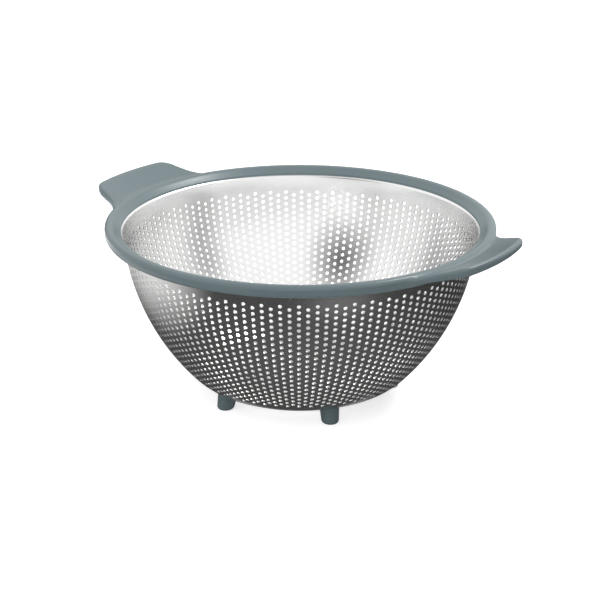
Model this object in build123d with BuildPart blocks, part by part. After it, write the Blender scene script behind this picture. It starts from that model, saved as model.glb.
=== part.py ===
from build123d import *
import os
from math import hypot, radians, tan

# Colander: a pressed and perforated bowl, a moulded rim with two handles, five feet and their rivets.
# The handles lie along X, the feet stand on Z = 0, and the axis of the bowl is the Z axis.

# Bowl, measured on the outside of the sheet
sheet_thickness = 0.8
base_radius = 60.4
base_corner = 1.5
mouth_radius = 114.1
bowl_depth = 101.3
band_height = 15.0
band_slope = 9.5
heel_reach_share = 0.254
heel_rise_share = 0.104
flange_width = 6.2
flange_bend = 1.2

# Perforation of the wall and of the base
column_count = 36
row_count = 12
first_row_depth = 14.4
last_row_rise = 18.8
hole_width = 8.0
base_hole_width = 6.2
base_hole_pitch = 8.5
base_ring_count = 5
holes_per_base_ring = 6

# Moulded rim over the flange
rim_width = 10.5
rim_lap = 0.4
crown_height = 4.8
crown_inner_share = 0.5
crown_round = 4.0
shoulder_drop = 0.3
shoulder_round = 3.4
rim_side = 6.2
underside_drop = 1.7
rim_foot_round = 1.6

# Handles, one moulding with the rim
grip_reach = 22.1
grip_width = 68.0
grip_flare = 18.5
grip_corner_share = 0.57
grip_blend_share = 1.34
grip_rise = 7.0
grip_thickness = 6.4
grip_root_depth = 1.2
grip_foot_depth = 0.4
grip_upper_round = 2.2
grip_lower_round = 1.8
grip_embed = 0.5
grip_core = 3.6

# Feet
foot_count = 5
foot_height = 9.5
foot_inset = 0.6
foot_splay = 2.1
foot_end_radius = 5.4
foot_root_radius = 6.4
foot_edge_chamfer = 1.2
foot_overlap = 6.0

# Rivets from inside the bowl into the feet
rivet_inset = 5.6
rivet_head_radius = 3.4
rivet_head_height = 1.3
rivet_head_chamfer = 0.9
rivet_shank_radius = 1.8
rivet_depth = 5.5
rivet_clearance = 0.1

# One overrun serves every cut
overrun = 2.0

# Places worked out from the sizes above
base_level = foot_height
flange_level = base_level + bowl_depth
flange_top = flange_level + sheet_thickness
band_foot_radius = mouth_radius - band_height * tan(radians(band_slope))
band_foot_level = flange_level - band_height
heel_radius = base_radius + (band_foot_radius - base_radius) * heel_reach_share
heel_level = base_level + (band_foot_level - base_level) * heel_rise_share
rim_radius = mouth_radius + rim_width
grip_radius = rim_radius + grip_reach
crown_level = flange_top + crown_height
side_level = crown_level - rim_side
foot_reach = base_radius - foot_inset
rivet_reach = base_radius - rivet_inset


def wall_lines():
    """The outside of the wall, from the flange down the straight band and round the heel to the base."""
    band = Line((mouth_radius, flange_level), (band_foot_radius, band_foot_level))
    side = TangentArc(band @ 1, (heel_radius, heel_level), tangent=band % 1)
    heel = TangentArc(side @ 1, (base_radius, base_level), tangent=side % 1)
    return band @ 0, heel @ 1


def bowl_lines(outline):
    """The outside of the whole sheet, from the centre of the base to the edge of the flange."""
    mouth, corner = wall_lines()
    Line((0, base_level), (base_radius, base_level))
    Line((mouth_radius, flange_level), (mouth_radius + flange_width, flange_level))
    fillet(outline.vertices().sort_by_distance(corner)[0], radius=base_corner)
    fillet(outline.vertices().sort_by_distance(mouth)[0], radius=flange_bend)


# The path down the wall that the rows of holes follow
with BuildLine() as wall_path:
    wall_lines()
wall_wire = wall_path.wires()[0]


def punch_place(depth, turn):
    """A plane square to the sheet and just outside it, at a depth down the wall and a turn about the axis."""
    point = wall_wire.position_at(depth, position_mode=PositionMode.LENGTH)
    down = wall_wire.tangent_at(depth, position_mode=PositionMode.LENGTH)
    origin = Vector(point.X, 0, point.Y).rotate(Axis.Z, turn)
    outward = Vector(-down.Y, 0, down.X).rotate(Axis.Z, turn)
    sideways = Vector(0, 1, 0).rotate(Axis.Z, turn)
    return Plane(origin=origin, x_dir=sideways, z_dir=outward).offset(overrun)


# Rows of holes down the wall, where every second row is turned by one step of two
row_pitch = (wall_wire.length - first_row_depth - last_row_rise) / (row_count - 1)
column_step = 360 / column_count
punch_places = []
for row in range(row_count):
    for column in range(row % 2, column_count, 2):
        punch_places.append(punch_place(first_row_depth + row * row_pitch, column * column_step))

# The room that the bowl fills, which is cut out of all that seats on it
with BuildPart() as bowl_room:
    with BuildSketch(Plane.XZ):
        with BuildLine() as outline:
            bowl_lines(outline)
            Polyline(
                (mouth_radius + flange_width, flange_level),
                (mouth_radius + flange_width, flange_top),
                (0, flange_top),
                (0, base_level),
            )
        make_face()
    revolve(axis=Axis.Z)

# Bowl: the revolved sheet, its wall punched square to the sheet and its base punched from below
with BuildPart() as bowl:
    with BuildSketch(Plane.XZ):
        with BuildLine() as outline:
            bowl_lines(outline)
            offset(amount=sheet_thickness, side=Side.RIGHT, closed=True)
        make_face()
    revolve(axis=Axis.Z)
    with BuildSketch(*punch_places):
        RegularPolygon(radius=hole_width / 2, side_count=6, major_radius=False)
    extrude(amount=-2 * overrun, mode=Mode.SUBTRACT)
    with BuildSketch(Plane.XY.offset(base_level - overrun)):
        for ring in range(base_ring_count + 1):
            with PolarLocations(ring * base_hole_pitch, max(ring * holes_per_base_ring, 1)):
                RegularPolygon(radius=base_hole_width / 2, side_count=6, major_radius=False)
        with PolarLocations(rivet_reach, foot_count, start_angle=180):
            Circle(rivet_shank_radius + rivet_clearance)
    extrude(amount=2 * overrun, mode=Mode.SUBTRACT)
bowl.part.label = "bowl"

# Handles: both of them and a thin ring between, cut to a section that rises away from the rim
ring_radius = rim_radius - grip_embed
core_radius = rim_radius - grip_core
grip_level = crown_level + grip_rise
grip_slope = grip_rise / grip_reach
centre_width = grip_width + 2 * grip_radius * tan(radians(grip_flare))


def outer_edges(face):
    """The edges of a handle's upper or lower face, without its seam and the circle inside the ring."""
    curves = [edge for edge in face.edges() if edge.geom_type != GeomType.LINE]
    return [edge for edge in curves if hypot((edge @ 0.5).X, (edge @ 0.5).Y) > core_radius + grip_embed]


with BuildPart() as grips:
    with BuildSketch() as grip_plan:
        Polygon(
            (grip_radius, -grip_width / 2),
            (grip_radius, grip_width / 2),
            (0, centre_width / 2),
            (-grip_radius, grip_width / 2),
            (-grip_radius, -grip_width / 2),
            (0, -centre_width / 2),
            align=None,
        )
        Circle(grip_radius, mode=Mode.INTERSECT)
        tips = grip_plan.vertices().filter_by(lambda v: abs(v.X) > rim_radius)
        fillet(tips, radius=grip_reach * grip_corner_share)
        Circle(ring_radius)
        roots = grip_plan.vertices().filter_by(lambda v: hypot(v.X, v.Y) < ring_radius + grip_embed)
        fillet(roots, radius=grip_reach * grip_blend_share)
        Circle(core_radius, mode=Mode.SUBTRACT)
    extrude(amount=grip_level + overrun)
    with BuildSketch(Plane.XZ):
        Polygon(
            (core_radius, side_level - grip_foot_depth),
            (grip_radius, grip_level - grip_thickness),
            (grip_radius, grip_level),
            (core_radius, crown_level - grip_root_depth - grip_core * grip_slope),
            align=None,
        )
    revolve(axis=Axis.Z, mode=Mode.INTERSECT)
    fillet(outer_edges(grips.faces().filter_by(GeomType.CONE).sort_by(Axis.Z)[-1]), radius=grip_upper_round)
    fillet(outer_edges(grips.faces().filter_by(GeomType.CONE).sort_by(Axis.Z)[0]), radius=grip_lower_round)

# Moulded rim: a crowned ring joined with the handles, and seated on the flange all round
lip = (mouth_radius + rim_lap, flange_top)
crown = (mouth_radius + rim_lap + rim_width * crown_inner_share, crown_level)
shoulder = (rim_radius, crown_level - shoulder_drop)
side_foot = (rim_radius, side_level)
wall_foot = (mouth_radius - sheet_thickness, side_level - underside_drop)
with BuildPart() as handle_rim:
    with BuildSketch(Plane.XZ) as rim_section:
        Polygon(lip, crown, shoulder, side_foot, wall_foot, align=None)
        corners = [rim_section.vertices().sort_by_distance(point)[0] for point in (crown, shoulder, side_foot)]
        for corner, size in zip(corners, (crown_round, shoulder_round, rim_foot_round)):
            fillet(corner, radius=size)
    revolve(axis=Axis.Z)
    add(grips.part)
    add(bowl_room.part, mode=Mode.SUBTRACT)
handle_rim.part.label = "handle_rim"

# Rivets: a flat-topped head on the inside of the base and a shank down into each foot
with BuildPart() as foot_rivets:
    with BuildSketch(Plane.XY.offset(base_level + sheet_thickness)):
        with PolarLocations(rivet_reach, foot_count, start_angle=180):
            Circle(rivet_head_radius)
    extrude(amount=rivet_head_height)
    chamfer(foot_rivets.edges().group_by(Axis.Z)[-1], length=rivet_head_chamfer)
    with BuildSketch(Plane.XY.offset(base_level - rivet_depth)):
        with PolarLocations(rivet_reach, foot_count, start_angle=180):
            Circle(rivet_shank_radius)
    extrude(amount=rivet_depth + sheet_thickness)
foot_rivets.part.label = "foot_rivets"

os.makedirs("parts", exist_ok=True)
export_step(bowl.part, "parts/bowl.step")
export_step(handle_rim.part, "parts/handle_rim.step")
export_step(foot_rivets.part, "parts/foot_rivets.step")

# Feet: each a splayed peg seated on the outside of the sheet and bored for its rivet
for number in range(foot_count):
    turn = 180 + number * 360 / foot_count
    with BuildPart() as foot:
        with BuildSketch():
            with PolarLocations(foot_reach, 1, start_angle=turn):
                Circle(foot_end_radius)
        with BuildSketch(Plane.XY.offset(base_level)):
            with PolarLocations(foot_reach - foot_splay, 1, start_angle=turn):
                Circle(foot_root_radius)
        loft()
        extrude(foot.faces().sort_by(Axis.Z)[-1], amount=foot_overlap)
        chamfer(foot.faces().sort_by(Axis.Z)[0].edges(), length=foot_edge_chamfer)
        add(bowl_room.part, mode=Mode.SUBTRACT)
        with BuildSketch(Plane.XY.offset(base_level - rivet_depth - rivet_clearance)):
            with PolarLocations(rivet_reach, 1, start_angle=turn):
                Circle(rivet_shank_radius + rivet_clearance)
        extrude(amount=rivet_depth + rivet_clearance, mode=Mode.SUBTRACT)
    foot.part.label = f"foot_{number + 1}"
    export_step(foot.part, f"parts/foot_{number + 1}.step")
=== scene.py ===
import math

import bmesh
import bpy
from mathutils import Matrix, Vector
from mathutils.geometry import delaunay_2d_cdt


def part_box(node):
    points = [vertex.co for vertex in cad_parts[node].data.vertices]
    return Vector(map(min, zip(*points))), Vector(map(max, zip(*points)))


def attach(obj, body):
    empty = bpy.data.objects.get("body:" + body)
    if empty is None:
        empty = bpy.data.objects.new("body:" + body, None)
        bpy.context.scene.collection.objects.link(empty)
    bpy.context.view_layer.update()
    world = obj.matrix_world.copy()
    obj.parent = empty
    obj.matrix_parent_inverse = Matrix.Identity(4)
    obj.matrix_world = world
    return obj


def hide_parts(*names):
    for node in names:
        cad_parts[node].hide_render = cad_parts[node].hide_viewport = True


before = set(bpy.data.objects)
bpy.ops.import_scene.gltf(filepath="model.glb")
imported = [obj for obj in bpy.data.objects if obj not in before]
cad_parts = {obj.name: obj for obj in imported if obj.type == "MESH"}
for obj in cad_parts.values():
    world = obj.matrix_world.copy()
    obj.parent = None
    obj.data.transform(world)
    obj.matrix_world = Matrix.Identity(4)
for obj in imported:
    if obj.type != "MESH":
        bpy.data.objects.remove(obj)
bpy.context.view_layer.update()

# Bowl: one deep-drawn bowl of thin stainless sheet, polished, and punched with small round holes in straight
# columns from mouth to base. Its mouth turns out into a flange that the plastic rim is moulded over, and its
# flat base is punched in rings and riveted to the feet.
bowl_low, bowl_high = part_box("bowl")
sheet = 0.0008
base_level = bowl_low.z
flange_under = bowl_high.z - sheet
flange_radius = bowl_high.y
mouth_radius = 0.1141
base_radius = 0.0604
base_corner = 0.0015
flange_bend = 0.0012
band_height = 0.015
band_slope = math.radians(9.5)
heel_reach_share = 0.254
heel_rise_share = 0.104
column_count = 128
half_row_count = 40
hole_radius = 0.0012
hole_sides = 12
quarter_sides = hole_sides // 4
first_row_depth = 0.0115
first_pitch = 0.00403
last_pitch = 0.00507
first_turn = math.radians(-55.02)
base_hole_pitch = 0.006
base_ring_count = 7
holes_per_base_ring = 6
bend_parts = 5
heel_parts = 3
flat_tolerance = 1e-7

band_foot = (mouth_radius - band_height * math.tan(band_slope), flange_under - band_height)
heel = (
    base_radius + (band_foot[0] - base_radius) * heel_reach_share,
    base_level + (band_foot[1] - base_level) * heel_rise_share,
)
band_length = band_height / math.cos(band_slope)


def arc_on(start, angle, end):
    """Centre and radius of the arc that leaves a point square to an angle and reaches another point."""
    outward = (math.cos(angle), math.sin(angle))
    chord = (end[0] - start[0], end[1] - start[1])
    radius = -(chord[0] ** 2 + chord[1] ** 2) / (2 * (chord[0] * outward[0] + chord[1] * outward[1]))
    return (start[0] - radius * outward[0], start[1] - radius * outward[1]), radius


side_centre, side_radius = arc_on(band_foot, -band_slope, heel)
heel_angle = math.atan2(heel[1] - side_centre[1], heel[0] - side_centre[0])
side_length = side_radius * (-band_slope - heel_angle)
heel_centre, heel_radius = arc_on(heel, heel_angle, (base_radius, base_level))


def on_arc(centre, radius, angle):
    """A point of the sheet's outside on an arc, as radius, height and the direction that it faces."""
    return (centre[0] + radius * math.cos(angle), centre[1] + radius * math.sin(angle), angle)


def wall(depth):
    """A point of the wall's outside at a depth down the sheet from the corner under the flange."""
    if depth < band_length:
        reach = depth / band_length
        radius = mouth_radius + (band_foot[0] - mouth_radius) * reach
        return (radius, flange_under - band_height * reach, -band_slope)
    if depth < band_length + side_length:
        return on_arc(side_centre, side_radius, -band_slope - (depth - band_length) / side_radius)
    return on_arc(heel_centre, heel_radius, heel_angle - (depth - band_length - side_length) / heel_radius)


def row_depth(row):
    """Depth of a half row down the wall, where the pitch grows evenly towards the base."""
    growth = (last_pitch - first_pitch) / (2 * half_row_count)
    return first_row_depth + (first_pitch * row + growth * row * row) / 2


class Sheet:
    """Both skins of the sheet, grown point by point in pairs."""

    def __init__(self):
        self.points = []
        self.faces = []
        self.inner = []

    def pair(self, place, turn, shift=(0, 0)):
        """A point outside and one inside, shifted round and up the sheet, and the outside one's number."""
        radius, height, facing = place
        turn += shift[0] / radius
        radius += shift[1] * -math.sin(facing)
        height += shift[1] * math.cos(facing)
        for depth in (0, sheet):
            reach = radius - depth * math.cos(facing)
            level = height - depth * math.sin(facing)
            self.points.append((reach * math.cos(turn), reach * math.sin(turn), level))
        return len(self.points) - 2

    def ring(self, place, turns):
        """A ring of pairs at one place on the sheet's section."""
        return [self.pair(place, turn) for turn in turns]

    def skin(self, *corners):
        """A face on both skins between the same pairs."""
        self.faces.append(corners)
        self.inner.append(False)
        self.faces.append(tuple(corner + 1 for corner in reversed(corners)))
        self.inner.append(True)

    def edge(self, loop):
        """The cut edge of the sheet along a closed loop of pairs."""
        for here, there in zip(loop, loop[1:] + loop[:1]):
            self.faces.append((here, there, there + 1, here + 1))
            self.inner.append(False)

    def strip(self, upper, lower):
        """The faces between two rings."""
        for here in range(len(upper)):
            there = (here + 1) % len(upper)
            self.skin(upper[here], upper[there], lower[there], lower[here])


step = 2 * math.pi / column_count
turns = [first_turn + half * step / 2 for half in range(2 * column_count)]
bowl_sheet = Sheet()

# The flange, its bend and the plain band above the first row
bend_side = math.tan((math.pi / 2 - band_slope) / 2) * flange_bend
bend_centre = (mouth_radius + bend_side, flange_under - flange_bend)
upper_rings = [bowl_sheet.ring((flange_radius, flange_under, -math.pi / 2), turns)]
for part in range(bend_parts + 1):
    facing = -math.pi / 2 + (math.pi / 2 - band_slope) * part / bend_parts
    radius = bend_centre[0] - flange_bend * math.cos(facing)
    height = bend_centre[1] - flange_bend * math.sin(facing)
    upper_rings.append(bowl_sheet.ring((radius, height, facing), turns))
bowl_sheet.edge(upper_rings[0])

# The punched wall: each hole has a cell of its own, and neighbouring columns are half a pitch apart. A half
# row has no points of its own at the middles of its holes.
levels = {}
for row in range(-1, half_row_count + 2):
    place = wall(row_depth(row))
    at_end = row in (-1, half_row_count + 1)
    levels[row] = [
        bowl_sheet.pair(place, turn) if half % 2 or at_end or (half // 2 + row) % 2 else None
        for half, turn in enumerate(turns)
    ]
upper_rings.append(levels[-1])
for upper, lower in zip(upper_rings, upper_rings[1:]):
    bowl_sheet.strip(upper, lower)
side_turns = [2 * math.pi * side / hole_sides for side in range(hole_sides)]
hole_shape = [(hole_radius * math.cos(turn), -hole_radius * math.sin(turn)) for turn in side_turns]
for column in range(column_count):
    left, middle, right = 2 * column - 1, 2 * column, 2 * column + 1
    if column % 2:
        for row in (-1, half_row_count):
            above, below = levels[row], levels[row + 1]
            bowl_sheet.skin(above[left], above[middle], below[middle], below[left])
            bowl_sheet.skin(above[middle], above[right], below[right], below[middle])
    for row in range(column % 2, half_row_count + 1, 2):
        place = wall(row_depth(row))
        hole = [bowl_sheet.pair(place, turns[middle], shift) for shift in hole_shape]
        above, level, below = levels[row - 1], levels[row], levels[row + 1]
        cell = (
            level[right], below[right], below[middle], below[left],
            level[left], above[left], above[middle], above[right],
        )
        for quarter in range(4):
            one, corner, two = cell[2 * quarter], cell[2 * quarter + 1], cell[(2 * quarter + 2) % len(cell)]
            first = quarter_sides * quarter
            near = [hole[(first + side) % hole_sides] for side in range(quarter_sides + 1)]
            bowl_sheet.skin(one, near[0], near[1], corner)
            bowl_sheet.skin(corner, near[1], near[2])
            bowl_sheet.skin(corner, near[2], near[3], two)
        bowl_sheet.edge(hole)

# The heel and the rounded corner of the base
corner_height = base_level + base_corner
corner_rise = corner_height - heel_centre[1]
corner_reach = heel_centre[0] + math.sqrt((heel_radius - base_corner) ** 2 - corner_rise**2)
corner_angle = math.atan2(corner_rise, corner_reach - heel_centre[0])
corner_depth = band_length + side_length + heel_radius * (heel_angle - corner_angle)
last_depth = row_depth(half_row_count + 1)
lower_rings = [levels[half_row_count + 1]]
for part in range(1, heel_parts + 1):
    depth = last_depth + (corner_depth - last_depth) * part / heel_parts
    lower_rings.append(bowl_sheet.ring(wall(depth), turns))
for part in range(1, heel_parts + 1):
    facing = corner_angle + (-math.pi / 2 - corner_angle) * part / heel_parts
    lower_rings.append(bowl_sheet.ring(on_arc((corner_reach, corner_height), base_corner, facing), turns))
for upper, lower in zip(lower_rings, lower_rings[1:]):
    bowl_sheet.strip(upper, lower)

# The flat base with its rings of holes
base_edge = lower_rings[-1]
plan = [Vector(bowl_sheet.points[corner][:2]) for corner in base_edge]
loops = [list(range(len(plan)))]
for ring in range(base_ring_count + 1):
    for number in range(max(ring * holes_per_base_ring, 1)):
        turn = 2 * math.pi * number / max(ring * holes_per_base_ring, 1)
        centre = Vector((math.cos(turn), math.sin(turn))) * ring * base_hole_pitch
        loops.append([len(plan) + side for side in range(hole_sides)])
        plan.extend(centre + Vector(corner) for corner in hole_shape)
borders = [(here, there) for loop in loops for here, there in zip(loop, loop[1:] + loop[:1])]
punched = [loop[::-1] for loop in loops[1:]]
_, _, triangles, _, _, hole_of = delaunay_2d_cdt(plan, borders, punched, 0, flat_tolerance)
numbers = list(base_edge)
for corner in plan[len(base_edge) :]:
    bowl_sheet.points.append((corner.x, corner.y, base_level))
    bowl_sheet.points.append((corner.x, corner.y, base_level + sheet))
    numbers.append(len(bowl_sheet.points) - 2)
for triangle, holes in zip(triangles, hole_of):
    if not holes:
        bowl_sheet.skin(*(numbers[corner] for corner in triangle))
for loop in loops[1:]:
    bowl_sheet.edge([numbers[corner] for corner in loop])


def piece_of(name, points, faces, sharp=35):
    """A closed mesh that faces outwards, shaded smooth except at edges sharper than an angle in degrees."""
    mesh = bpy.data.meshes.new(name)
    mesh.from_pydata(points, [], faces)
    shell = bmesh.new()
    shell.from_mesh(mesh)
    bmesh.ops.recalc_face_normals(shell, faces=shell.faces)
    shell.to_mesh(mesh)
    shell.free()
    mesh.shade_smooth()
    mesh.set_sharp_from_angle(angle=math.radians(sharp))
    piece = bpy.data.objects.new(name, mesh)
    bpy.context.scene.collection.objects.link(piece)
    return piece


def material_of(name):
    """A new material, its node tree and its Principled shader."""
    material = bpy.data.materials.new(name)
    material.use_nodes = True
    shader = material.node_tree.nodes["Principled BSDF"]
    return material, material.node_tree, shader


def add_noise(tree, scale, detail, roughness=0.5, stretch=(1, 1, 1)):
    """A noise texture on the object's own coordinates."""
    place = tree.nodes.new("ShaderNodeTexCoord")
    spread = tree.nodes.new("ShaderNodeMapping")
    spread.inputs["Scale"].default_value = stretch
    noise = tree.nodes.new("ShaderNodeTexNoise")
    noise.inputs["Scale"].default_value = scale
    noise.inputs["Detail"].default_value = detail
    noise.inputs["Roughness"].default_value = roughness
    tree.links.new(place.outputs["Object"], spread.inputs["Vector"])
    tree.links.new(spread.outputs["Vector"], noise.inputs["Vector"])
    return noise


def add_ramp(tree, source, low, high, start=0.3, end=0.7):
    """A colour ramp from one colour to another over a texture."""
    ramp = tree.nodes.new("ShaderNodeValToRGB")
    ramp.color_ramp.elements[0].position = start
    ramp.color_ramp.elements[0].color = (*low, 1)
    ramp.color_ramp.elements[1].position = end
    ramp.color_ramp.elements[1].color = (*high, 1)
    tree.links.new(source.outputs["Fac"], ramp.inputs["Fac"])
    return ramp


steel_swing = 0.03
outside_greys = (0.60, 0.60, 0.60), (0.66, 0.66, 0.65)
outside_roughness = 0.26
# Both sides are the same polished sheet. The inside's grey is painted much lighter than the outside's:
# painted light for the bright inside of the bowl.
inside_greys_painted_light = (0.88, 0.88, 0.875), (0.93, 0.93, 0.925)
inside_roughness = 0.22


def steel(name, greys, roughness):
    """Polished stainless steel with faint marks of polishing."""
    material, tree, shader = material_of(name)
    shader.inputs["Metallic"].default_value = 1
    cloud = add_noise(tree, scale=18, detail=3)
    tree.links.new(add_ramp(tree, cloud, *greys).outputs["Color"], shader.inputs["Base Color"])
    marks = add_noise(tree, scale=240, detail=4, roughness=0.6, stretch=(1, 1, 9))
    spread = tree.nodes.new("ShaderNodeMapRange")
    spread.inputs["To Min"].default_value = roughness - steel_swing
    spread.inputs["To Max"].default_value = roughness + steel_swing
    tree.links.new(marks.outputs["Fac"], spread.inputs["Value"])
    tree.links.new(spread.outputs["Result"], shader.inputs["Roughness"])
    return material


bowl = piece_of("perforated_bowl", bowl_sheet.points, bowl_sheet.faces)
bowl.data.materials.append(steel("steel outside", outside_greys, outside_roughness))
# The inside skin takes the steel with painted light, lighter than the same sheet outside.
bowl.data.materials.append(steel("steel inside, painted light", inside_greys_painted_light, inside_roughness))
for face, inside in zip(bowl.data.polygons, bowl_sheet.inner):
    face.material_index = 1 if inside else 0
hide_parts("bowl")
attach(bowl, "root")

# Rim and handles: one grey-green moulding over the steel flange, a crowned ring with two flared handles that
# rise away from it across a shallow valley. Every edge of it is rounded, and its surface is smooth and matte.
_, rim_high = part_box("handle_rim")
grip_radius = rim_high.x
rim_radius = rim_high.y
lip_lap = 0.0003
lip_rise = 0.0005
crown_rise = 0.0048
crown_reach = 0.00565
crown_round = 0.004
shoulder_drop = 0.0003
shoulder_round = 0.0034
side_drop = 0.0062
side_round = 0.0022
wall_foot_inset = 0.0005
wall_foot_drop = 0.0079
grip_width = 0.068
grip_flare = math.radians(18.5)
grip_corner = 0.0126
grip_blend = 0.0296
grip_rise = 0.007
grip_root_depth = 0.0012
grip_thickness = 0.0064
grip_foot_depth = 0.0061
grip_upper_round = 0.0024
grip_lower_round = 0.0026
valley_round = 0.004
past_edge_slope = 2
arc_samples = 24
ray_steps = 30
search_span = 30
lip_radius = mouth_radius + lip_lap
lip_level = bowl_high.z + lip_rise
crown_radius = mouth_radius + crown_reach
crown_level = bowl_high.z + crown_rise
wall_foot_radius = mouth_radius - wall_foot_inset
wall_foot_level = crown_level - wall_foot_drop


def grip_outline(samples):
    """A quarter of the rim's outline in plan, from the middle of a handle to the middle of the rim's side."""
    along = Vector((math.cos(grip_flare), -math.sin(grip_flare)))
    out = Vector((math.sin(grip_flare), math.cos(grip_flare)))
    tip = Vector((grip_radius, grip_width / 2))

    def centre_beside(offset, reach):
        """The centre of a corner's arc, beside the handle's straight side and at a reach from the axis."""
        start = tip + out * offset
        lean = start.dot(along)
        root = math.sqrt(lean**2 - start.length_squared + reach**2)
        return start + along * (root - lean)

    corner = centre_beside(-grip_corner, grip_radius - grip_corner)
    hollow = centre_beside(grip_blend, rim_radius + grip_blend)
    corner_turn = math.atan2(corner.y, corner.x)
    hollow_turn = math.atan2(hollow.y, hollow.x)
    side_turn = math.pi / 2 - grip_flare

    def sweep(centre, radius, first, last, count):
        """Points along an arc, all but its last."""
        for number in range(count):
            turn = first + (last - first) * number / count
            yield centre + Vector((math.cos(turn), math.sin(turn))) * radius

    outline = list(sweep(Vector((0, 0)), grip_radius, 0, corner_turn, samples))
    outline += sweep(corner, grip_corner, corner_turn, side_turn, samples)
    first, last = corner + out * grip_corner, hollow - out * grip_blend
    outline += [first.lerp(last, number / samples) for number in range(samples)]
    outline += sweep(hollow, grip_blend, side_turn + math.pi, hollow_turn + math.pi, samples)
    outline += sweep(Vector((0, 0)), rim_radius, hollow_turn, math.pi / 2, 3 * samples)
    return outline


quarter_outline = grip_outline(arc_samples)
quarter_outline.append(Vector((0, rim_radius)))
half_outline = quarter_outline + [Vector((-point.x, point.y)) for point in quarter_outline[-2::-1]]
outline = half_outline + [Vector((point.x, -point.y)) for point in half_outline[-2:0:-1]]


def edge_distance(point, index):
    """How far a point is inside the outline, looked for among the stretches near its own ray."""
    nearest = math.inf
    for number in range(index - search_span, index + search_span + 1):
        here, there = outline[number % len(outline)], outline[(number + 1) % len(outline)]
        along = there - here
        share = max(0, min(1, (point - here).dot(along) / along.length_squared))
        nearest = min(nearest, (here + along * share - point).length)
    return nearest


def round_off(distance, radius):
    """The drop of a rounded edge at a distance inside it."""
    short = max(0, radius - distance)
    return radius - math.sqrt(max(0, radius**2 - short**2))


def softer_of(one, two, reach):
    """The greater of two heights, with a rounded hollow where they cross."""
    gap = max(0, reach - abs(one - two)) / reach
    return max(one, two) + gap * gap * reach / 4


lip_slope = math.atan2(crown_level - lip_level, crown_radius - lip_radius)
fall_slope = math.atan2(shoulder_drop, rim_radius - crown_radius)
crown_side = crown_round * math.tan((lip_slope + fall_slope) / 2)


def crown_height(radius):
    """The ring's top from its lip over the crown towards its shoulder."""
    before = crown_radius - crown_side * math.cos(lip_slope)
    after = crown_radius + crown_side * math.cos(fall_slope)
    if radius < before:
        return lip_level + (radius - lip_radius) * math.tan(lip_slope)
    if radius > after:
        return crown_level - (radius - crown_radius) * math.tan(fall_slope)
    centre = (before + crown_round * math.sin(lip_slope), crown_level - crown_side * math.sin(lip_slope))
    centre_level = centre[1] - crown_round * math.cos(lip_slope)
    return centre_level + math.sqrt(crown_round**2 - (radius - centre[0]) ** 2)


def rim_top(point, inside):
    """The height of the moulding's top at a point and its distance inside the outline."""
    radius = point.length
    ring = crown_height(radius) - round_off(rim_radius - radius, shoulder_round)
    if radius > rim_radius:
        ring = crown_level - shoulder_drop - shoulder_round - (radius - rim_radius) * past_edge_slope
    rise = grip_rise + grip_root_depth
    slope = rise / (grip_radius - rim_radius)
    grip = crown_level - grip_root_depth + (radius - rim_radius) * slope - round_off(inside, grip_upper_round)
    return min(softer_of(ring, grip, valley_round), rim_high.z)


def rim_foot(point, inside):
    """The height of the moulding's underside at a point and its distance inside the outline."""
    radius = point.length
    side_level = crown_level - side_drop
    lean = (side_level - wall_foot_level) / (rim_radius - wall_foot_radius)
    ring = side_level - (rim_radius - radius) * lean + round_off(rim_radius - radius, side_round)
    if radius > rim_radius:
        ring = side_level + side_round + (radius - rim_radius) * past_edge_slope
    tip_level = crown_level + grip_rise - grip_thickness
    root_level = crown_level - grip_foot_depth
    share = (radius - rim_radius) / (grip_radius - rim_radius)
    grip = root_level + (tip_level - root_level) * share + round_off(inside, grip_lower_round)
    return -softer_of(-ring, -grip, valley_round)


def spread_shares(count):
    """Shares of a ray from 0 to 1, closer together towards both of its ends."""
    return [(1 - math.cos(math.pi * number / count)) / 2 for number in range(count + 1)]


ray_shares = spread_shares(ray_steps)
rim_points = []
rim_faces = []
for index, edge in enumerate(outline):
    ray = edge.normalized()
    for start, height_of in ((lip_radius, rim_top), (wall_foot_radius, rim_foot)):
        places = [ray * (start + (edge.length - start) * share) for share in ray_shares]
        if start == wall_foot_radius:
            places.reverse()
        for place in places:
            rim_points.append((place.x, place.y, height_of(place, edge_distance(place, index))))
ray_size = 2 * len(ray_shares)
for index in range(len(outline)):
    here, there = index * ray_size, (index + 1) % len(outline) * ray_size
    for number in range(ray_size):
        after = (number + 1) % ray_size
        rim_faces.append((here + number, there + number, there + after, here + after))

plastic_greens = (0.150, 0.202, 0.216), (0.162, 0.217, 0.232)
plastic_roughness = 0.27
plastic_index = 1.5
grain_strength = 0.12
grain_depth = 0.0001
plastic, plastic_tree, plastic_shader = material_of("grey-green plastic")
plastic_cloud = add_noise(plastic_tree, scale=30, detail=4)
plastic_ramp = add_ramp(plastic_tree, plastic_cloud, *plastic_greens)
plastic_tree.links.new(plastic_ramp.outputs["Color"], plastic_shader.inputs["Base Color"])
plastic_shader.inputs["Roughness"].default_value = plastic_roughness
plastic_shader.inputs["IOR"].default_value = plastic_index
plastic_grain = add_noise(plastic_tree, scale=2600, detail=2)
plastic_bump = plastic_tree.nodes.new("ShaderNodeBump")
plastic_bump.inputs["Strength"].default_value = grain_strength
plastic_bump.inputs["Distance"].default_value = grain_depth
plastic_tree.links.new(plastic_grain.outputs["Fac"], plastic_bump.inputs["Height"])
plastic_tree.links.new(plastic_bump.outputs["Normal"], plastic_shader.inputs["Normal"])

rim = piece_of("rim_with_handles", rim_points, rim_faces, sharp=60)
rim.data.materials.append(plastic)
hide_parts("handle_rim")
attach(rim, "root")

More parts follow.
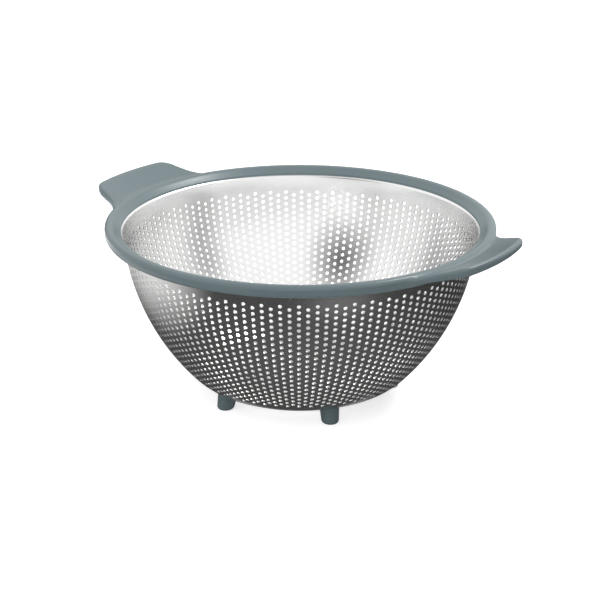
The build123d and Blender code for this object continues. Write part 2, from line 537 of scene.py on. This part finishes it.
# Feet: five short pegs of the rim's plastic, splayed a little, with rounded ends. Each fits the sheet where
# the base turns into the wall, and a rivet from inside the bowl holds it.
foot_count = 5
foot_reach = 0.0598
foot_splay = 0.0021
foot_end_radius = 0.0054
foot_root_radius = 0.0064
foot_round = 0.0019
foot_sides = 48
foot_sink = 0.0004
foot_side_share = 0.85
foot_round_parts = 6
foot_side_parts = 3
seat_shares = (0.75, 0.5, 0.25)
halvings = 30
search_reach = 0.01


def sheet_level(radius):
    """The height of the bowl's outside over the ground at a radius, near the base."""
    if radius < corner_reach:
        return base_level
    low, high = last_depth, corner_depth
    if radius < wall(corner_depth)[0]:
        return corner_height - math.sqrt(base_corner**2 - (radius - corner_reach) ** 2)
    for _ in range(halvings):
        middle = (low + high) / 2
        if wall(middle)[0] > radius:
            low = middle
        else:
            high = middle
    return wall(low)[1]


def foot_ring(level, shrink):
    """Points of a foot all round, at a level and drawn in from its side."""
    share = level / base_level
    centre = foot_reach - foot_splay * share
    radius = foot_end_radius + (foot_root_radius - foot_end_radius) * share - shrink
    for side in range(foot_sides):
        turn = 2 * math.pi * side / foot_sides
        yield centre + radius * math.cos(turn), radius * math.sin(turn)


def foot_top(side):
    """The point where one line up the side of a foot goes into the sheet."""
    low, high = base_level / 2, base_level + search_reach
    for _ in range(halvings):
        middle = (low + high) / 2
        x, y = list(foot_ring(middle, 0))[side]
        if middle < sheet_level(math.hypot(x, y)) + foot_sink:
            low = middle
        else:
            high = middle
    return x, y, middle


foot_rows = []
for part in range(foot_round_parts + 1):
    turn = math.pi / 2 * part / foot_round_parts
    shrink = foot_round * (1 - math.sin(turn))
    level = foot_round * (1 - math.cos(turn))
    foot_rows.append([(x, y, level) for x, y in foot_ring(level, shrink)])
for part in range(1, foot_side_parts + 1):
    level = foot_round + (base_level * foot_side_share - foot_round) * part / foot_side_parts
    foot_rows.append([(x, y, level) for x, y in foot_ring(level, 0)])

# The hidden top of a foot follows the underside of the sheet that it is seated in
seat = [foot_top(side) for side in range(foot_sides)]
foot_rows.append(seat)
seat_middle = foot_reach - foot_splay
for share in seat_shares:
    ring = [(seat_middle + (x - seat_middle) * share, y * share) for x, y, _ in seat]
    foot_rows.append([(x, y, sheet_level(math.hypot(x, y)) + foot_sink) for x, y in ring])

# Each foot is the same peg, turned round the axis of the bowl
for number in range(foot_count):
    turn = math.pi + 2 * math.pi * number / foot_count
    points = [
        (x * math.cos(turn) - y * math.sin(turn), x * math.sin(turn) + y * math.cos(turn), z)
        for row in foot_rows
        for x, y, z in row
    ]
    faces = [tuple(range(foot_sides)), tuple(range(len(points) - foot_sides, len(points)))]
    for row in range(len(foot_rows) - 1):
        for side in range(foot_sides):
            here, there = row * foot_sides + side, row * foot_sides + (side + 1) % foot_sides
            faces.append((here, there, there + foot_sides, here + foot_sides))
    foot = piece_of(f"foot_peg_{number + 1}", points, faces, sharp=50)
    foot.data.materials.append(plastic)
    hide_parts(f"foot_{number + 1}")
    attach(foot, "root")

# Rivets: five small steel rivets, set from inside the bowl through its sheet, one into each foot. Only their
# low domed heads show, on the inside of the base.
rivet_inset = 0.0056
rivet_radius = 0.0034
rivet_neck_share = 0.9
rivet_rise = 0.0013
rivet_sides = 32
rivet_rows = 6
rivet_greys = (0.55, 0.55, 0.55), (0.62, 0.62, 0.61)
rivet_roughness = 0.3
rivet_reach = base_radius - rivet_inset
head_level = base_level + sheet
rivet_points = []
rivet_faces = []
for number in range(foot_count):
    turn = math.pi + 2 * math.pi * number / foot_count
    centre = (rivet_reach * math.cos(turn), rivet_reach * math.sin(turn))
    first = len(rivet_points)
    profile = [(rivet_radius * rivet_neck_share, head_level - sheet / 2), (rivet_radius, head_level)]
    for row in range(1, rivet_rows):
        lift = math.pi / 2 * row / rivet_rows
        profile.append((rivet_radius * math.cos(lift), head_level + rivet_rise * math.sin(lift)))
    for radius, level in profile:
        for side in range(rivet_sides):
            angle = 2 * math.pi * side / rivet_sides
            x, y = centre[0] + radius * math.cos(angle), centre[1] + radius * math.sin(angle)
            rivet_points.append((x, y, level))
    rivet_faces.append(tuple(range(first, first + rivet_sides)))
    rivet_faces.append(tuple(range(len(rivet_points) - rivet_sides, len(rivet_points))))
    for row in range(len(profile) - 1):
        for side in range(rivet_sides):
            here = first + row * rivet_sides + side
            there = first + row * rivet_sides + (side + 1) % rivet_sides
            rivet_faces.append((here, there, there + rivet_sides, here + rivet_sides))
rivets = piece_of("foot_rivet_heads", rivet_points, rivet_faces, sharp=50)
rivets.data.materials.append(steel("rivet steel", rivet_greys, rivet_roughness))
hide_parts("foot_rivets")
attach(rivets, "root")

# Floor: a plain white studio floor, level and matte. It glows where it is seen, straight or in the steel, so
# that it shows as white, and it keeps the soft shadow of the colander.
floor_size = 12
floor_white = 0.8
floor_roughness = 0.9
floor_glow_level = 0.72
bpy.ops.mesh.primitive_plane_add(size=floor_size)
floor = bpy.context.object
floor.name = "floor"
floor_material, floor_tree, floor_shader = material_of("white floor")
floor_shader.inputs["Base Color"].default_value = (floor_white, floor_white, floor_white, 1)
floor_shader.inputs["Roughness"].default_value = floor_roughness
floor_shader.inputs["Specular IOR Level"].default_value = 0


def seen_directly(tree):
    """1 for what the camera sees, straight or in metal or glass, and 0 for the light that falls on things."""
    path = tree.nodes.new("ShaderNodeLightPath")
    seen = path.outputs["Is Camera Ray"]
    for kind in ("Is Glossy Ray", "Is Transmission Ray"):
        either = tree.nodes.new("ShaderNodeMath")
        either.operation = "MAXIMUM"
        tree.links.new(seen, either.inputs[0])
        tree.links.new(path.outputs[kind], either.inputs[1])
        seen = either.outputs[0]
    return seen


floor_glow = floor_tree.nodes.new("ShaderNodeMath")
floor_glow.operation = "MULTIPLY"
floor_glow.inputs[1].default_value = floor_glow_level
floor_tree.links.new(seen_directly(floor_tree), floor_glow.inputs[0])
floor_shader.inputs["Emission Color"].default_value = (1, 1, 1, 1)
floor_tree.links.new(floor_glow.outputs[0], floor_shader.inputs["Emission Strength"])
floor.data.materials.append(floor_material)

# Light: white studio air, a soft lamp high behind the colander's right side that shows in reflections, and a
# broad one over its front left that doesn't. Both hang two metres away or a little more.
air_level = 0.40
seen_air_level = 1
light_target = Vector((0, 0, 0.07))
camera_turn = math.radians(-54.6)
world = bpy.data.worlds.new("studio")
bpy.context.scene.world = world
world.use_nodes = True
backdrop = world.node_tree.nodes["Background"]
world_level = world.node_tree.nodes.new("ShaderNodeMapRange")
world_level.inputs["To Min"].default_value = air_level
world_level.inputs["To Max"].default_value = seen_air_level
world.node_tree.links.new(seen_directly(world.node_tree), world_level.inputs["Value"])
world.node_tree.links.new(world_level.outputs["Result"], backdrop.inputs["Strength"])
backdrop.inputs["Color"].default_value = (1, 1, 1, 1)


def beside_camera(turn, elevation, distance, target):
    """A place at a turn to the camera's right round the target, and at an elevation above it."""
    angle = camera_turn + math.radians(turn)
    lift = math.radians(elevation)
    direction = Vector((math.cos(angle) * math.cos(lift), math.sin(angle) * math.cos(lift), math.sin(lift)))
    return target + direction * distance


def softbox(name, turn, elevation, distance, size, power, reflected):
    """A square area lamp that looks at the colander, seen in its reflections or not."""
    lamp = bpy.data.lights.new(name, "AREA")
    lamp.shape = "SQUARE"
    lamp.size = size
    lamp.energy = power
    holder = bpy.data.objects.new(name, lamp)
    holder.location = beside_camera(turn, elevation, distance, light_target)
    holder.rotation_euler = (holder.location - light_target).to_track_quat("Z", "Y").to_euler()
    holder.visible_glossy = reflected
    bpy.context.scene.collection.objects.link(holder)


softbox("back_softbox", turn=120, elevation=52, distance=2.0, size=0.75, power=23, reflected=True)
softbox("front_softbox", turn=-40, elevation=36, distance=2.4, size=2.0, power=21, reflected=False)

# Cards: the studio's flags, which show in reflections alone. A dark mat with pools of light on it lies under
# the colander. Cards with dark middles stand to the left of the camera, at the colander's right and over it,
# and a low one, dark all over, stands behind.
mat_radius = 2.5
mat_sides = 64
mat_lift = 0.0005
mat_dark = 0.05
card_white = 1
mat_pools = (
    ("left", (-0.31, -0.02), (0.18, 0.2), 1.5),
    ("front right", (0.125, -0.315), (0.15, 0.14), 0.5),
    ("near front", (0, -0.13), (0.27, 0.24), 0.09),
    ("beyond the left handle", (-0.36, 0.26), (0.3, 0.3), 1.2),
    ("shade in the middle", (0, 0), (0.115, 0.115), -0.08),
    ("narrow, under the base", (0, -0.042), (0.055, 0.012), 1.2),
    ("near back", (0, 0.4), (0.42, 0.3), 1.8),
    ("far back left", (-0.85, 0.55), (0.8, 0.55), 2.2),
    ("far back right", (0.9, 0.6), (0.8, 0.6), 2.2),
)
front_card_pools = (
    ("lower left shade", (-0.8, -0.6), (0.6, 0.68), -0.3),
    ("dark middle", (0, 0), (1.16, 1.04), -1.15),
)
side_card_pools = (("dark middle", (0, 0), (0.5, 0.38), -0.7),)
top_card_pools = (("dark middle", (0, 0), (1.25, 1.25), -0.6),)


def flag(name, points, turn):
    """A flat card that shows in reflections alone."""
    mesh = bpy.data.meshes.new(name)
    mesh.from_pydata(points, [], [tuple(range(len(points)))])
    card = bpy.data.objects.new(name, mesh)
    bpy.context.scene.collection.objects.link(card)
    card.rotation_euler.z = turn
    card.visible_camera = False
    card.visible_diffuse = False
    card.visible_transmission = False
    card.visible_shadow = False
    return card


def add_pool(tree, base, centre, reach, peak):
    """Light added to a card round a place on it, or taken away, fading to nothing at its reach."""
    place = tree.nodes.new("ShaderNodeTexCoord")
    shift = tree.nodes.new("ShaderNodeMapping")
    shift.vector_type = "TEXTURE"
    shift.inputs["Location"].default_value = (*centre, 0)
    shift.inputs["Scale"].default_value = (*reach, 1)
    pool = tree.nodes.new("ShaderNodeTexGradient")
    pool.gradient_type = "SPHERICAL"
    level = tree.nodes.new("ShaderNodeMath")
    level.operation = "MULTIPLY_ADD"
    level.inputs[1].default_value = peak
    tree.links.new(place.outputs["Object"], shift.inputs["Vector"])
    tree.links.new(shift.outputs["Vector"], pool.inputs["Vector"])
    tree.links.new(pool.outputs["Fac"], level.inputs[0])
    tree.links.new(base.outputs[0], level.inputs[2])
    return level


def light_card(card, level, pools=(), limit=False):
    """A card's glow: one level and its pools by name, centre, reach and peak, limited to white or not."""
    material = bpy.data.materials.new(card.name)
    material.use_nodes = True
    tree = material.node_tree
    tree.nodes.clear()
    output = tree.nodes.new("ShaderNodeOutputMaterial")
    glow = tree.nodes.new("ShaderNodeEmission")
    sum_of_light = tree.nodes.new("ShaderNodeValue")
    sum_of_light.outputs[0].default_value = level
    for pool_name, centre, reach, peak in pools:
        sum_of_light = add_pool(tree, sum_of_light, centre, reach, peak)
        sum_of_light.label = pool_name
    if limit:
        sum_of_light.use_clamp = True
    tree.links.new(sum_of_light.outputs[0], glow.inputs["Strength"])
    tree.links.new(glow.outputs["Emission"], output.inputs["Surface"])
    card.data.materials.append(material)


def upright(name, width, height, turn, elevation, distance):
    """A flag that stands at a turn and an elevation and looks at the colander."""
    corners = [(x * width / 2, y * height / 2, 0) for x, y in ((-1, -1), (1, -1), (1, 1), (-1, 1))]
    card = flag(name, corners, 0)
    card.location = beside_camera(turn, elevation, distance, light_target)
    card.rotation_euler = (card.location - light_target).to_track_quat("Z", "Y").to_euler()
    return card


circle = [2 * math.pi * number / mat_sides for number in range(mat_sides)]
mat_points = [(mat_radius * math.cos(turn), mat_radius * math.sin(turn), 0) for turn in circle]
mat = flag("dark_mat", mat_points, camera_turn + math.pi / 2)
mat.location.z = mat_lift
light_card(mat, mat_dark, mat_pools)
front_card = upright("dark_card", width=3.4, height=2.6, turn=-34.5, elevation=31.5, distance=2.4)
light_card(front_card, card_white, front_card_pools, limit=True)
side_card = upright("side_card", width=1.1, height=0.8, turn=80, elevation=22, distance=1.4)
light_card(side_card, card_white, side_card_pools)
back_card = upright("back_card", width=1.3, height=0.4, turn=-168, elevation=3, distance=1.5)
light_card(back_card, mat_dark)
top_card = upright("top_card", width=2.6, height=2.6, turn=0, elevation=90, distance=2)
light_card(top_card, card_white, top_card_pools)

# Camera: a long lens a little over a metre away, at the photograph's angle. It is aimed at the middle of the
# bowl and turned a hair about its own line of sight.
picture_size = 600
film_width = 36
focal_pixels = 1695.96
camera_distance = 1.10234
camera_elevation = 20.948
camera_roll = 0.0018
aim_level = 0.0610
aim_pixels = -0.3
camera_data = bpy.data.cameras.new("camera")
camera_data.sensor_width = film_width
camera_data.lens = film_width * focal_pixels / picture_size
camera = bpy.data.objects.new("camera", camera_data)
bpy.context.scene.collection.objects.link(camera)
aim = Vector((0, 0, aim_level))
camera.location = beside_camera(0, camera_elevation, camera_distance, aim)
turned = (camera.location - aim).to_track_quat("Z", "Y")
sideways = turned @ Vector((1, 0, 0))
camera.location += sideways * aim_pixels * camera_distance / focal_pixels
camera.rotation_euler = turned.to_euler()
camera.rotation_euler.rotate_axis("Z", camera_roll)
bpy.context.scene.camera = camera
bpy.context.scene.view_settings.view_transform = "Standard"
